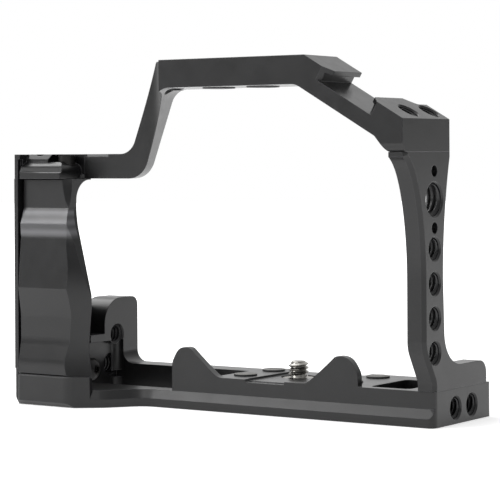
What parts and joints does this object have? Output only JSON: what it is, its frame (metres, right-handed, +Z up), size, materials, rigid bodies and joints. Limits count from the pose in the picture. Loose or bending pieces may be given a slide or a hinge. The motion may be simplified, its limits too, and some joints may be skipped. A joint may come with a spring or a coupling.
{
  "type": "camera cage",
  "caption": "Machined cage round a small camera: banded base with captive screw, side column, cranked top bridge with a sloping cold shoe, slim hand grip.",
  "frame": {"origin": "middle of the cage's box, at the underside of the base", "axes": "+Z up, +X to the side of the column, -Y to the front, where the lens points"},
  "size_m": [0.1438, 0.052, 0.108],
  "materials": {
    "black_anodised": "fine bead-blasted, matt black anodised",
    "bright_steel": "turned, bright",
    "spring_steel": "plain spring steel",
    "black_oxide": "black oxide on steel",
    "pad_rubber": "smooth black silicone pad"
  },
  "bodies": {
    "cage": {"base_plate": "black_anodised", "top_bridge": "black_anodised", "side_column": "black_anodised", "hand_grip": "black_anodised", "grip_side_plate": "black_anodised", "column_foot_screws": "black_oxide", "column_grub_screws": "black_oxide", "grip_foot_screws": "black_oxide", "grip_head_screws": "black_oxide", "grip_dowels": "bright_steel", "side_plate_screws": "black_oxide", "lug_button_screw": "black_oxide", "shoe_stop_screw": "black_oxide", "base_pads": "pad_rubber", "bridge_pads": "pad_rubber"},
    "screw_clip": {"screw_retaining_clip": "spring_steel"},
    "screw": {"camera_screw": "bright_steel"}
  },
  "joints": [
    {"name": "camera_screw_lift", "type": "slide", "parent": "cage", "child": "screw_clip", "axis": [0, 0, 1], "range_m": [-0.0016, 0]},
    {"name": "camera_screw_turn", "type": "hinge", "parent": "screw_clip", "child": "screw", "pos_m": [0.01245, 0.012, 0.0093], "axis": [0, 0, 1], "continuous": true}
  ]
}
